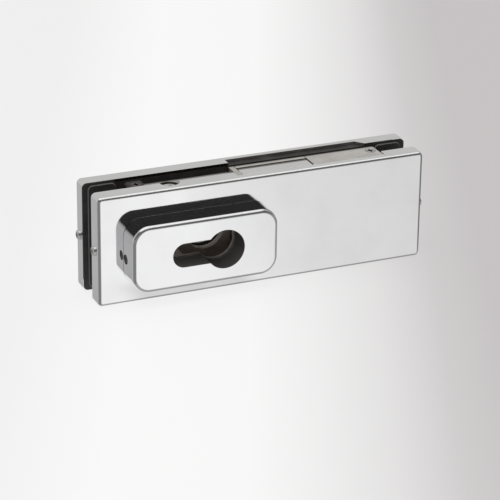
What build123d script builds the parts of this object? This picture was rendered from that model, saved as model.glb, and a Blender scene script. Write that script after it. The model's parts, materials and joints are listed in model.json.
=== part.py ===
from build123d import *
import os
from math import sqrt

# Glass door patch lock, in millimetres, shown with its bolt edge up as it is photographed.
# The origin is on the bottom edge, under the middle of the patch and of the glass.
# +X runs along the patch, +Z points out of the bolt edge, and -Y is the front.

# Whole patch
PATCH_LENGTH = 160.0
PATCH_HEIGHT = 52.0
PATCH_THICKNESS = 28.0
GLASS_THICKNESS = 10.0
PAD_THICKNESS = 1.0
GLASS_GRIP = 17.0
CUTOUT_MARGIN = 1.0

# Pressed covers
SHEET = 1.2
COVER_CORNER = 2.2
COVER_BEND = 1.5
SLIP = 0.1
REAR_NOTCH_FLANGE = 3.9
REAR_NOTCH_LEFT = 2.0
REAR_NOTCH_RIGHT = 6.0
REAR_NOTCH_TAPER = 3.5

# Profile cylinder that a user fits
BARREL_Z = 24.0
MECHANISM_Y = -6.0
PROFILE_BARREL = 17.0
PROFILE_SLIM = 10.0
PROFILE_LENGTH = 33.0
PROFILE_CLEARANCE = 0.7
CAM_RADIUS = 15.0
CAM_WIDTH = 10.0
CAM_SWEEP_CLEARANCE = 0.8
CAM_SIDE_CLEARANCE = 0.1

# Deadbolt
BOLT_WIDTH = 34.3
BOLT_THICKNESS = 8.0
BOLT_HEAD_HEIGHT = 32.0
BOLT_TAIL_WIDTH = 13.3
BOLT_TRAVEL = 18.0
BOLT_CLEARANCE = 0.1
BOLT_GAP = 0.3
BOLT_END_CLEARANCE = 0.4
BOLT_INSET = 0.1
JAW_HEIGHT = 6.4
JAW_RELIEF = 0.5
JAW_LUG = 4.0
BOLT_EDGE = 0.3
STOP_PIN_RADIUS = 2.0
STOP_PIN_CLEARANCE = 0.15
STOP_PIN_DEPTH = 2.9
STOP_SLOT_TOP_WALL = 5.7

# Bolt brake
BRAKE_RADIUS = 2.4
BRAKE_CLEARANCE = 0.1
BRAKE_LENGTH = 6.0
BRAKE_GAP = 0.05
BRAKE_EDGE = 0.4
BRAKE_DROP = 4.6
SPRING_WIRE = 0.6
SPRING_TURNS = 5
SPRING_PITCH = 1.4
SPRING_SIDES = 8

# Lock case and its lid
CASE_FLOOR = 2.2
CASE_BAR_HEIGHT = 12.0
CASE_SIDE_WALL = 3.2
CASE_REAR_Y = 2.5
CASE_RAIL_Y = 0.5
CASE_END_PAD = 7.5
CASE_MOUTH = 0.2
CASE_BLOCK_WALL = 2.6
CASE_STEP_HEIGHT = 9.0
CASE_RAIL_DROP = 2.0
CASE_REAR_EDGE = 1.6
CASE_CORNER = 1.5
LID_THICKNESS = 2.7
LID_LEFT = 27.0
LID_RIGHT = 7.6
LID_STEP = 6.5
LID_CORNER = 2.0
LID_SLIP = 0.1

# Front frame and rear plate that clamp the glass
LEDGE_Y = -1.6
LEDGE_WIDTH = 10.1
FRAME_JOINT = 0.1
PAD_END = 2.5
PAD_EDGE = 1.2
PAD_CORNER = 2.5
PAD_BEVEL = 0.4
PAD_SHEET = 0.4
PAD_SHEET_INSET = 0.3
REAR_POCKET_DEPTH = 3.6
REAR_POCKET_WIDTH = 14.0
REAR_POCKET_RIB = 2.4
REAR_POCKET_COUNT = 2

# Escutcheon, one on each side
ESCUTCHEON_LENGTH = 70.4
ESCUTCHEON_HEIGHT = 32.2
ESCUTCHEON_DEPTH = 11.3
ESCUTCHEON_SHIFT_X = -9.3
ESCUTCHEON_SHIFT_Z = 0.3
ESCUTCHEON_CORNER = 8.5
ESCUTCHEON_EDGE = 1.8
ESCUTCHEON_DRAFT = 1.5
ESCUTCHEON_FOOT = 0.2
ESCUTCHEON_WALL = 2.5
COLLAR_WALL = 1.8
RETAINER_THICKNESS = 5.2
RETAINER_SLIP = 0.15
GRUB_RADIUS = 2.3
GRUB_DROP = 1.7
GRUB_WALL = 0.4
GRUB_INSET = 0.4

# Screws; the last three values are shares of a head's radius, radius and height
CLAMP_SCREW_RADIUS = 2.5
CLAMP_HEAD_RADIUS = 4.25
CLAMP_HEAD_HEIGHT = 3.2
CLAMP_HEAD_SINK = 0.2
CLAMP_THREAD = 8.0
CLAMP_PITCH = 18.0
CLAMP_GAP = 0.9
CLAMP_SOCKET = 2.0
FIXING_SCREW_RADIUS = 2.5
FIXING_HEAD_RADIUS = 4.5
FIXING_HEAD_HEIGHT = 2.6
FIXING_HEAD_SINK = 0.3
EDGE_SCREW_RADIUS = 1.5
EDGE_SCREW_HEAD = 2.5
EDGE_SCREW_INSET = 4.2
EDGE_SCREW_THREAD = 5.0
END_SCREW_RADIUS = 1.25
END_SCREW_HEAD = 2.3
END_SCREW_HEAD_HEIGHT = 1.3
END_SCREW_LENGTH = 7.0
SMALL_SCREW_RADIUS = 1.5
SMALL_SCREW_HEAD = 2.7
LID_SCREW_THREAD = 5.0
SCREW_CLEARANCE = 0.2
RECESS_DEPTH = 0.7
CROSS_SPAN = 1.3
CROSS_ARM = 0.3
PAN_DOME = 0.7

# Planes and edges that follow from the sizes above
FRONT_Y = -PATCH_THICKNESS / 2
INNER_Y = FRONT_Y + SHEET
RIM_Y = -(GLASS_THICKNESS / 2 + PAD_THICKNESS)
HALF_LENGTH = PATCH_LENGTH / 2
INSIDE = SHEET + SLIP
INSIDE_TOP = PATCH_HEIGHT - INSIDE
INSIDE_END = HALF_LENGTH - INSIDE
CUTOUT_WIDTH = PATCH_LENGTH - 2 * GLASS_GRIP
CASE_END = CUTOUT_WIDTH / 2 - CUTOUT_MARGIN
CASE_BODY_HALF = CASE_END - LEDGE_WIDTH
BAR_BOTTOM = PATCH_HEIGHT - CASE_BAR_HEIGHT
RAIL_TOP = PATCH_HEIGHT - CASE_RAIL_DROP

HALF_SLIM = PROFILE_SLIM / 2 + PROFILE_CLEARANCE
FIXING_X = -CASE_BODY_HALF + CASE_SIDE_WALL + HALF_SLIM
BARREL_X = FIXING_X + PROFILE_LENGTH - PROFILE_BARREL / 2 - PROFILE_SLIM / 2
SLIM_TOP = BARREL_Z + HALF_SLIM

BOLT_LEFT = BARREL_X + CAM_RADIUS
BOLT_RIGHT = BOLT_LEFT + BOLT_WIDTH
BOLT_FRONT_Y = MECHANISM_Y - BOLT_THICKNESS / 2
BOLT_REAR_Y = MECHANISM_Y + BOLT_THICKNESS / 2
BOLT_TOP = PATCH_HEIGHT - BOLT_INSET
BOLT_HEAD_BOTTOM = PATCH_HEIGHT - BOLT_HEAD_HEIGHT
LUG_TIP = BARREL_X + sqrt(CAM_RADIUS**2 - (BOLT_TRAVEL / 2)**2)
JAW_Z = BARREL_Z - BOLT_TRAVEL / 2
BOLT_BOTTOM = JAW_Z - JAW_HEIGHT / 2 - JAW_LUG
LUG_TOP = JAW_Z + JAW_HEIGHT / 2 + JAW_LUG
STOP_X = (BOLT_LEFT + BOLT_TAIL_WIDTH + BOLT_RIGHT) / 2 - BOLT_THICKNESS / 2
STOP_SLOT_TOP = PATCH_HEIGHT - STOP_SLOT_TOP_WALL
STOP_Z = STOP_SLOT_TOP - STOP_PIN_RADIUS - STOP_PIN_CLEARANCE

CHANNEL_FRONT_Y = BOLT_FRONT_Y - BOLT_CLEARANCE
CHANNEL_REAR_Y = BOLT_REAR_Y + BOLT_GAP
LID_FRONT_Y = INNER_Y
LID_REAR_Y = LID_FRONT_Y + LID_THICKNESS
CASE_BOTTOM = BOLT_BOTTOM - BOLT_END_CLEARANCE - CASE_FLOOR
BLOCK_LEFT = BOLT_LEFT - BOLT_GAP - CASE_BLOCK_WALL
END_PAD_RIGHT = -CASE_END + CASE_END_PAD

ESCUTCHEON_X = BARREL_X + ESCUTCHEON_SHIFT_X
ESCUTCHEON_Z = BARREL_Z + ESCUTCHEON_SHIFT_Z
ESCUTCHEON_LEFT = ESCUTCHEON_X - ESCUTCHEON_LENGTH / 2
ESCUTCHEON_RIGHT = ESCUTCHEON_X + ESCUTCHEON_LENGTH / 2
ESCUTCHEON_FRONT_Y = FRONT_Y - ESCUTCHEON_DEPTH
COLLAR_LEFT = FIXING_X - HALF_SLIM - COLLAR_WALL
COLLAR_RIGHT = BARREL_X + PROFILE_BARREL / 2 + PROFILE_CLEARANCE + COLLAR_WALL
LEDGE_X = (CASE_BODY_HALF + CASE_END) / 2
CLAMP_HIGH = BAR_BOTTOM - EDGE_SCREW_THREAD - CLAMP_GAP - CLAMP_SCREW_RADIUS
CLAMP_LOW = CLAMP_HIGH - CLAMP_PITCH
END_SCREW_Y = (FRONT_Y + RIM_Y) / 2
EDGE_SCREW_X = CASE_END - EDGE_SCREW_INSET
EDGE_SCREW_Y = RIM_Y + SLIP + EDGE_SCREW_HEAD
BRAKE_Z = PATCH_HEIGHT - BRAKE_DROP
SPRING_LENGTH = SPRING_TURNS * SPRING_PITCH + SPRING_WIRE
BRAKE_BORE_END = BOLT_RIGHT + BRAKE_GAP + BRAKE_LENGTH + SPRING_LENGTH


def rect(x0, x1, z0, z1, corner=0.0):
    """Rectangle in the plane of the patch, given by its edges."""
    centre = Pos((x0 + x1) / 2, (z0 + z1) / 2)
    if corner > 0:
        return centre * RectangleRounded(x1 - x0, z1 - z0, corner)
    return centre * Rectangle(x1 - x0, z1 - z0)


def slab(outline, y0, y1):
    """Solid that has the outline from depth y0 to depth y1."""
    return extrude(Plane.XZ.offset(-y1) * outline, amount=y1 - y0)


def block(x0, x1, y0, y1, z0, z1):
    """Box given by its faces."""
    return slab(rect(x0, x1, z0, z1), y0, y1)


def drill(origin, out, radius, depth, above=0.0):
    """Round hole from origin, against the direction out; above carries it outwards."""
    length = depth + above
    return Plane(origin=origin, z_dir=out) * Pos(0, 0, above - length / 2) * Cylinder(radius, length)


def turned(points):
    """Solid turned about Z from (radius, height) points."""
    return revolve(Plane.XZ * make_face(Polyline(*points, close=True)), axis=Axis.Z)


def place(solid, origin, out):
    """Screw drawn along Z, set with its head at origin and facing out."""
    return Plane(origin=origin, z_dir=out) * solid


def cross_recess(head_radius, top):
    """Cross for the driver, sunk from the head's top."""
    span, width = CROSS_SPAN * head_radius, CROSS_ARM * head_radius
    arm = Pos(0, 0, top - RECESS_DEPTH / 2) * Box(span, width, RECESS_DEPTH)
    return arm + Rot(0, 0, 90) * arm


def countersunk_screw(radius, head_radius, length):
    """Flat-topped countersunk screw, its top at Z = 0."""
    cone = head_radius - radius
    points = [(0, 0), (head_radius, 0), (radius, -cone), (radius, -length), (0, -length)]
    return turned(points) - cross_recess(head_radius, 0)


def countersink(origin, out, radius, head_radius):
    """Cone that a countersunk head fills."""
    cone = head_radius - radius
    return Plane(origin=origin, z_dir=out) * turned([(0, 0), (head_radius, 0), (radius, -cone), (0, -cone)])


def cheese_screw(radius, head_radius, head_height, length):
    """Screw with a flat cylindrical head whose top is at Z = 0."""
    shoulder = -head_height
    points = [(0, 0), (head_radius, 0), (head_radius, shoulder), (radius, shoulder)]
    return turned(points + [(radius, -length), (0, -length)])


def pan_screw(radius, head_radius, head_height, length):
    """Screw with a domed head that stands on Z = 0."""
    dome = Pos(0, 0, head_height / 2) * Cylinder(head_radius, head_height)
    dome = fillet(dome.edges().group_by(Axis.Z)[-1], PAN_DOME * head_height)
    dome -= cross_recess(head_radius, head_height)
    return dome + Pos(0, 0, -length / 2) * Cylinder(radius, length)


def mirrored(solid):
    """The same piece on the rear side of the glass."""
    return mirror(solid, about=Plane.XZ)


def profile_hole(extra=0.0):
    """Outline of the profile cylinder, barrel to the right, grown by its clearance and extra."""
    barrel = Pos(BARREL_X, BARREL_Z) * Circle(PROFILE_BARREL / 2 + PROFILE_CLEARANCE + extra)
    half_slim = HALF_SLIM + extra
    web = rect(FIXING_X, BARREL_X, BARREL_Z - half_slim, BARREL_Z + half_slim)
    foot = Pos(FIXING_X, BARREL_Z) * Circle(half_slim)
    return barrel + web + foot


def profile_passage(y0, y1):
    """Passage that the profile cylinder slides through."""
    return slab(profile_hole(), y0, y1)


def clamp_points():
    """Places of the screws that squeeze the glass, as (x, z)."""
    return [(side * LEDGE_X, z) for side in (-1, 1) for z in (CLAMP_LOW, CLAMP_HIGH)]


def retainer_points():
    """Places of the screws that hold an escutcheon's retainer, as (x, z): one each side of the collar."""
    left = (COLLAR_LEFT + ESCUTCHEON_LEFT + ESCUTCHEON_WALL) / 2
    right = (COLLAR_RIGHT + ESCUTCHEON_RIGHT - ESCUTCHEON_WALL) / 2
    return [(left, (CLAMP_LOW + CLAMP_HIGH) / 2), (right, ESCUTCHEON_Z)]


def lid_points():
    """Places of the lid's screws, as (x, z)."""
    left = FIXING_X - FIXING_HEAD_RADIUS
    right = BOLT_RIGHT + LID_RIGHT / 2
    return [
        (left, CASE_BOTTOM + LID_STEP),
        (left, BAR_BOTTOM - LID_STEP / 2),
        (STOP_X, (CASE_BOTTOM + BOLT_HEAD_BOTTOM) / 2),
        (right, BAR_BOTTOM),
    ]


def cover_shell():
    """Bare pressed cover: a flat face with a flange all round."""
    outer = slab(rect(-HALF_LENGTH, HALF_LENGTH, 0, PATCH_HEIGHT, COVER_CORNER), FRONT_Y, RIM_Y)
    outer = fillet(outer.faces().sort_by(Axis.Y)[0].edges(), COVER_BEND)
    half_inside = HALF_LENGTH - SHEET
    hollow = rect(-half_inside, half_inside, SHEET, PATCH_HEIGHT - SHEET, COVER_CORNER - SHEET)
    shell = outer - slab(hollow, INNER_Y, RIM_Y)
    for side in (-1, 1):
        start = (side * HALF_LENGTH, END_SCREW_Y, PATCH_HEIGHT / 2)
        shell -= drill(start, (side, 0, 0), END_SCREW_RADIUS + SCREW_CLEARANCE, 2 * SHEET)
    for x, z in retainer_points():
        shell -= drill((x, FRONT_Y, z), (0, -1, 0), SMALL_SCREW_RADIUS + SCREW_CLEARANCE, SHEET)
    return shell - profile_passage(FRONT_Y, INNER_Y)


def front_cover():
    """Front cover, its top flange cut back over the bolt and round the fixing screw."""
    shell = cover_shell()
    top = PATCH_HEIGHT - 2 * SHEET
    shell -= block(BLOCK_LEFT - SLIP, CASE_END + SLIP, CHANNEL_FRONT_Y, RIM_Y, top, PATCH_HEIGHT)
    head = (FIXING_X, MECHANISM_Y, PATCH_HEIGHT)
    return shell - drill(head, (0, 0, 1), FIXING_HEAD_RADIUS + SCREW_CLEARANCE, 2 * SHEET)


def rear_cover():
    """Rear cover, with the long notch that clears the bolt edge, square on the left, tapered on the right."""
    rim = -RIM_Y
    notch_y = -FRONT_Y - REAR_NOTCH_FLANGE
    left = BLOCK_LEFT + REAR_NOTCH_LEFT
    right = CASE_END - REAR_NOTCH_RIGHT
    corners = [(left, rim), (left, notch_y), (right, notch_y), (right + REAR_NOTCH_TAPER, rim)]
    outline = make_face(Polyline(*corners, close=True))
    notch = extrude(Plane.XY.offset(PATCH_HEIGHT - 2 * SHEET) * outline, amount=2 * SHEET)
    return mirrored(cover_shell()) - notch


def escutcheon():
    """Raised housing round the cylinder's nose: outer wall, collar and flat front in one casting."""
    left, right = ESCUTCHEON_LEFT, ESCUTCHEON_RIGHT
    low = ESCUTCHEON_Z - ESCUTCHEON_HEIGHT / 2
    high = ESCUTCHEON_Z + ESCUTCHEON_HEIGHT / 2
    wall = ESCUTCHEON_WALL
    base = Plane.XZ.offset(-FRONT_Y) * rect(left, right, low, high, ESCUTCHEON_CORNER)
    body = extrude(base, amount=ESCUTCHEON_DEPTH, taper=ESCUTCHEON_DRAFT)
    body = fillet(body.faces().sort_by(Axis.Y)[0].edges(), ESCUTCHEON_EDGE)
    body = chamfer(body.faces().sort_by(Axis.Y)[-1].edges(), ESCUTCHEON_FOOT)
    hollow = rect(left + wall, right - wall, low + wall, high - wall, ESCUTCHEON_CORNER - wall)
    hollow -= profile_hole(COLLAR_WALL)
    body -= slab(hollow, ESCUTCHEON_FRONT_Y + wall, FRONT_Y)
    body -= profile_passage(ESCUTCHEON_FRONT_Y, FRONT_Y)
    for side, end in ((-1, left), (1, right)):
        body -= drill(grub_place(end), (side, 0, 0), GRUB_RADIUS, wall)
    return body


def grub_place(end):
    """Where a grub screw enters the escutcheon's end wall."""
    return (end, FRONT_Y - GRUB_WALL - GRUB_RADIUS, ESCUTCHEON_Z - GRUB_DROP)


def retainer():
    """Plate inside the escutcheon, screwed through the cover, that the grub screws bear on."""
    inset = ESCUTCHEON_WALL + RETAINER_SLIP
    low = ESCUTCHEON_Z - ESCUTCHEON_HEIGHT / 2 + inset
    high = ESCUTCHEON_Z + ESCUTCHEON_HEIGHT / 2 - inset
    corner = ESCUTCHEON_CORNER - inset
    outline = rect(ESCUTCHEON_LEFT + inset, ESCUTCHEON_RIGHT - inset, low, high, corner)
    outline -= profile_hole(COLLAR_WALL + RETAINER_SLIP)
    front = FRONT_Y - RETAINER_THICKNESS
    plate = slab(outline, front, FRONT_Y)
    for x, z in retainer_points():
        plate -= drill((x, front, z), (0, -1, 0), SMALL_SCREW_RADIUS + SCREW_CLEARANCE, RETAINER_THICKNESS)
        plate -= countersink((x, front, z), (0, -1, 0), SMALL_SCREW_RADIUS, SMALL_SCREW_HEAD)
    return plate


def retainer_screws():
    """Two countersunk screws, from the retainer through the cover into the metal behind."""
    front = FRONT_Y - RETAINER_THICKNESS
    length = RETAINER_THICKNESS + SHEET + LID_THICKNESS - SCREW_CLEARANCE
    screw = countersunk_screw(SMALL_SCREW_RADIUS, SMALL_SCREW_HEAD, length)
    return [place(screw, (x, front, z), (0, -1, 0)) for x, z in retainer_points()]


def grub_screws():
    """Two headless screws in the escutcheon's end walls, tight on the retainer's edge."""
    length = ESCUTCHEON_WALL + RETAINER_SLIP - GRUB_INSET
    grub = Pos(0, 0, -GRUB_INSET - length / 2) * Cylinder(GRUB_RADIUS, length)
    socket = Pos(0, 0, -GRUB_INSET - RECESS_DEPTH / 2)
    grub -= socket * extrude(RegularPolygon(GRUB_RADIUS / 2, 6), amount=RECESS_DEPTH / 2, both=True)
    return [place(grub, grub_place(end), (side, 0, 0))
            for side, end in ((-1, ESCUTCHEON_LEFT), (1, ESCUTCHEON_RIGHT))]


def deadbolt():
    """Flat bolt: wide head, narrower tail, a jaw that the cylinder's cam enters and a slot for the stop."""
    tail_right = BOLT_LEFT + BOLT_TAIL_WIDTH
    outline = rect(BOLT_LEFT, BOLT_RIGHT, BOLT_HEAD_BOTTOM, BOLT_TOP)
    outline += rect(BOLT_LEFT, tail_right, BOLT_BOTTOM, BOLT_HEAD_BOTTOM)
    outline += rect(LUG_TIP, BOLT_LEFT, BOLT_BOTTOM, LUG_TOP)
    jaw_low, jaw_high = JAW_Z - JAW_HEIGHT / 2, JAW_Z + JAW_HEIGHT / 2
    outline -= rect(LUG_TIP, BOLT_LEFT + JAW_RELIEF, jaw_low, jaw_high)
    slot_radius = STOP_PIN_RADIUS + STOP_PIN_CLEARANCE
    outline -= rect(STOP_X - slot_radius, STOP_X + slot_radius, STOP_Z - BOLT_TRAVEL, STOP_Z)
    for z in (STOP_Z - BOLT_TRAVEL, STOP_Z):
        outline -= Pos(STOP_X, z) * Circle(slot_radius)
    bolt = slab(outline, BOLT_FRONT_Y, BOLT_REAR_Y)
    return chamfer(bolt.faces().sort_by(Axis.Z)[-1].edges(), BOLT_EDGE)


def stop_pin():
    """Pin across the bolt's slot, pressed in the lock case and closed off by the lid."""
    length = CHANNEL_REAR_Y + STOP_PIN_DEPTH - LID_REAR_Y
    return drill((STOP_X, LID_REAR_Y, STOP_Z), (0, -1, 0), STOP_PIN_RADIUS, length)


def brake_plunger():
    """Plastic plunger that rubs on the bolt's edge and holds it where it is put."""
    start = BOLT_RIGHT + BRAKE_GAP
    body = drill((start, MECHANISM_Y, BRAKE_Z), (-1, 0, 0), BRAKE_RADIUS, BRAKE_LENGTH)
    return chamfer(body.edges().filter_by(GeomType.CIRCLE), BRAKE_EDGE)


def brake_spring():
    """Coil spring behind the plunger."""
    radius = BRAKE_RADIUS - SPRING_WIRE / 2
    path = Helix(SPRING_PITCH, SPRING_TURNS * SPRING_PITCH, radius)
    coil = sweep(Plane(origin=path @ 0, z_dir=path % 0) * RegularPolygon(SPRING_WIRE / 2, SPRING_SIDES), path=path)
    start = BOLT_RIGHT + BRAKE_GAP + BRAKE_LENGTH + SPRING_WIRE / 2
    return Plane(origin=(start, MECHANISM_Y, BRAKE_Z), z_dir=(1, 0, 0)) * coil


def case_outline():
    """Lock case seen from the front: a body between the ledges and a bar on top of them."""
    body = rect(-CASE_BODY_HALF, CASE_BODY_HALF, CASE_BOTTOM, BAR_BOTTOM)
    bar = rect(-CASE_END, CASE_END, BAR_BOTTOM, PATCH_HEIGHT)
    rows = (body + bar).vertices().group_by(Axis.Y)
    return fillet(rows[0] + rows[-1], CASE_CORNER)


def lid_outline(shrink=0.0):
    """Lid seen from the front, low over the cylinder and high over the bolt."""
    left = BARREL_X - LID_LEFT + shrink
    right = BOLT_RIGHT + LID_RIGHT - shrink
    low = CASE_BOTTOM + CASE_CORNER + shrink
    step = BAR_BOTTOM + LID_CORNER - shrink
    lower = rect(left, right, low, step)
    upper = rect(BLOCK_LEFT + shrink, right, step - LID_STEP, INSIDE_TOP)
    return fillet((lower + upper).vertices(), LID_CORNER)


def bolt_channel():
    """Space that the bolt and its lugs slide in, open at the top edge."""
    left = BOLT_LEFT - BOLT_GAP
    right = BOLT_RIGHT + BOLT_GAP
    head = rect(left, right, BOLT_HEAD_BOTTOM - BOLT_END_CLEARANCE, PATCH_HEIGHT)
    tail_right = BOLT_LEFT + BOLT_TAIL_WIDTH + BOLT_GAP
    tail = rect(left, tail_right, BOLT_BOTTOM - BOLT_END_CLEARANCE, BOLT_HEAD_BOTTOM)
    lug_low = BOLT_BOTTOM - BOLT_END_CLEARANCE
    lug_high = LUG_TOP + BOLT_TRAVEL + BOLT_END_CLEARANCE
    lugs = rect(LUG_TIP - BOLT_END_CLEARANCE, left, lug_low, lug_high)
    return slab(head + tail + lugs, LID_FRONT_Y, CHANNEL_REAR_Y)


def channel_mouth():
    """Small bevel round the rear and the ends of the bolt's opening."""
    x0 = BOLT_LEFT - BOLT_GAP
    x1 = BOLT_RIGHT + BOLT_GAP
    low, high = PATCH_HEIGHT - CASE_MOUTH, PATCH_HEIGHT
    corners = [(x0, low), (x0 - CASE_MOUTH, high), (x1 + CASE_MOUTH, high), (x1, low)]
    ends = slab(make_face(Polyline(*corners, close=True)), LID_FRONT_Y, CHANNEL_REAR_Y)
    slope = [(CHANNEL_REAR_Y, low), (CHANNEL_REAR_Y + CASE_MOUTH, high), (CHANNEL_REAR_Y, high)]
    rear = extrude(Plane.YZ.offset(x0) * make_face(Polyline(*slope, close=True)), amount=x1 - x0)
    return ends + rear


def cam_pocket():
    """Round space in which the cylinder's cam turns."""
    half = CAM_WIDTH / 2 + CAM_SIDE_CLEARANCE
    disc = Pos(BARREL_X, BARREL_Z) * Circle(CAM_RADIUS + CAM_SWEEP_CLEARANCE)
    return slab(disc, MECHANISM_Y - half, MECHANISM_Y + half)


def fixing_well():
    """Hole and head seat of the screw that pins the cylinder."""
    top = (FIXING_X, MECHANISM_Y, RAIL_TOP)
    hole = drill(top, (0, 0, 1), FIXING_SCREW_RADIUS + SCREW_CLEARANCE, RAIL_TOP - BARREL_Z)
    seat = FIXING_HEAD_SINK + FIXING_HEAD_HEIGHT
    return hole + drill(top, (0, 0, 1), FIXING_HEAD_RADIUS + SCREW_CLEARANCE / 2, seat)


def lock_case():
    """Die-cast case that carries the bolt and the cylinder, open at the front under its lid."""
    case = slab(case_outline(), INNER_Y, CASE_REAR_Y)
    step = PATCH_HEIGHT - CASE_STEP_HEIGHT
    case -= block(-CASE_END, BLOCK_LEFT, CASE_RAIL_Y, CASE_REAR_Y, step, PATCH_HEIGHT)
    case -= block(END_PAD_RIGHT, BLOCK_LEFT, INNER_Y, CASE_RAIL_Y, RAIL_TOP, PATCH_HEIGHT)
    edges = case.faces().sort_by(Axis.Y)[-1].edges().group_by(Axis.Z)[-1]
    case = fillet(edges, CASE_REAR_EDGE)
    case -= block(-CASE_END, BLOCK_LEFT, INNER_Y, RIM_Y + SLIP, INSIDE_TOP, PATCH_HEIGHT)
    case -= block(BLOCK_LEFT, CASE_END, INNER_Y, CHANNEL_FRONT_Y + SLIP, INSIDE_TOP, PATCH_HEIGHT)
    case -= channel_mouth()
    case -= slab(lid_outline(), LID_FRONT_Y, LID_REAR_Y)
    case -= bolt_channel()
    case -= cam_pocket()
    case -= profile_passage(INNER_Y, CASE_REAR_Y)
    case -= drill((STOP_X, CHANNEL_REAR_Y, STOP_Z), (0, -1, 0), STOP_PIN_RADIUS, STOP_PIN_DEPTH)
    bore = BRAKE_BORE_END - BOLT_RIGHT
    case -= drill((BOLT_RIGHT, MECHANISM_Y, BRAKE_Z), (-1, 0, 0), BRAKE_RADIUS + BRAKE_CLEARANCE, bore)
    case -= fixing_well()
    for side in (-1, 1):
        cone = EDGE_SCREW_HEAD - EDGE_SCREW_RADIUS
        top = (side * EDGE_SCREW_X, EDGE_SCREW_Y, PATCH_HEIGHT)
        case -= drill(top, (0, 0, 1), EDGE_SCREW_RADIUS + SCREW_CLEARANCE, CASE_BAR_HEIGHT + cone)
        case -= countersink(top, (0, 0, 1), EDGE_SCREW_RADIUS, EDGE_SCREW_HEAD)
    for x, z in lid_points():
        case -= drill((x, LID_REAR_Y, z), (0, -1, 0), SMALL_SCREW_RADIUS, LID_SCREW_THREAD)
    return case


def case_lid():
    """Steel lid that closes the bolt channel and the cam's pocket."""
    lid = slab(lid_outline(LID_SLIP), LID_FRONT_Y, LID_REAR_Y)
    lid -= cam_pocket()
    lid -= profile_passage(LID_FRONT_Y, LID_REAR_Y)
    for x, z in lid_points():
        lid -= drill((x, LID_FRONT_Y, z), (0, -1, 0), SMALL_SCREW_RADIUS + SCREW_CLEARANCE, LID_THICKNESS)
        lid -= countersink((x, LID_FRONT_Y, z), (0, -1, 0), SMALL_SCREW_RADIUS, SMALL_SCREW_HEAD)
    x, z = retainer_points()[1]
    return lid - drill((x, LID_FRONT_Y, z), (0, -1, 0), SMALL_SCREW_RADIUS, LID_THICKNESS)


def lid_screws():
    """Countersunk screws that hold the lid."""
    screw = countersunk_screw(SMALL_SCREW_RADIUS, SMALL_SCREW_HEAD, LID_THICKNESS + LID_SCREW_THREAD)
    return [place(screw, (x, LID_FRONT_Y, z), (0, -1, 0)) for x, z in lid_points()]


def end_screw_tap(side):
    """Tapped hole for a cover's end screw."""
    return drill((side * INSIDE_END, END_SCREW_Y, PATCH_HEIGHT / 2), (side, 0, 0),
                 END_SCREW_RADIUS, END_SCREW_LENGTH)


def front_frame():
    """Front clamp frame: a wing behind each glass pad, a ledge for the lock case and a strip below."""
    outline = rect(-INSIDE_END, INSIDE_END, INSIDE, INSIDE_TOP, COVER_CORNER - INSIDE)
    body = CASE_BODY_HALF + FRAME_JOINT
    end = CASE_END + FRAME_JOINT
    outline -= rect(-body, body, CASE_BOTTOM - FRAME_JOINT, PATCH_HEIGHT)
    outline -= rect(-end, end, BAR_BOTTOM, PATCH_HEIGHT)
    frame = slab(outline, INNER_Y, RIM_Y)
    for side in (-1, 1):
        x0, x1 = sorted((side * body, side * CASE_END))
        frame += block(x0, x1, RIM_Y, LEDGE_Y, CASE_BOTTOM, BAR_BOTTOM)
        frame -= end_screw_tap(side)
        top = (side * EDGE_SCREW_X, EDGE_SCREW_Y, BAR_BOTTOM)
        frame -= drill(top, (0, 0, 1), EDGE_SCREW_RADIUS, EDGE_SCREW_THREAD)
    for x, z in clamp_points():
        frame -= drill((x, LEDGE_Y, z), (0, 1, 0), CLAMP_SCREW_RADIUS, CLAMP_THREAD)
    x, z = retainer_points()[0]
    return frame - drill((x, INNER_Y, z), (0, -1, 0), SMALL_SCREW_RADIUS, LID_THICKNESS)


def rear_plate():
    """Rear clamp plate, ribbed at the back, with the clamp screws' head seats and the cylinder's passage."""
    back, face = -INNER_Y, -RIM_Y
    outline = rect(-INSIDE_END, INSIDE_END, INSIDE, INSIDE_TOP, COVER_CORNER - INSIDE)
    plate = slab(outline, face, back)
    for index in range(REAR_POCKET_COUNT):
        x0 = BOLT_LEFT + CASE_BLOCK_WALL + COLLAR_WALL + index * (REAR_POCKET_WIDTH + REAR_POCKET_RIB)
        x1 = x0 + REAR_POCKET_WIDTH
        pocket = rect(x0, x1, CASE_BOTTOM, BAR_BOTTOM, LID_CORNER)
        plate -= slab(pocket, back - REAR_POCKET_DEPTH, back)
    plate -= profile_passage(face, back)
    for x, z in clamp_points():
        plate -= drill((x, back, z), (0, 1, 0), CLAMP_SCREW_RADIUS + SCREW_CLEARANCE, back - face)
        seat = CLAMP_HEAD_HEIGHT + CLAMP_HEAD_SINK
        plate -= drill((x, back, z), (0, 1, 0), CLAMP_HEAD_RADIUS + SCREW_CLEARANCE, seat)
    for side in (-1, 1):
        plate -= mirrored(end_screw_tap(side))
    for x, z in retainer_points():
        plate -= drill((x, back, z), (0, 1, 0), SMALL_SCREW_RADIUS, LID_THICKNESS)
    return plate


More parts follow.
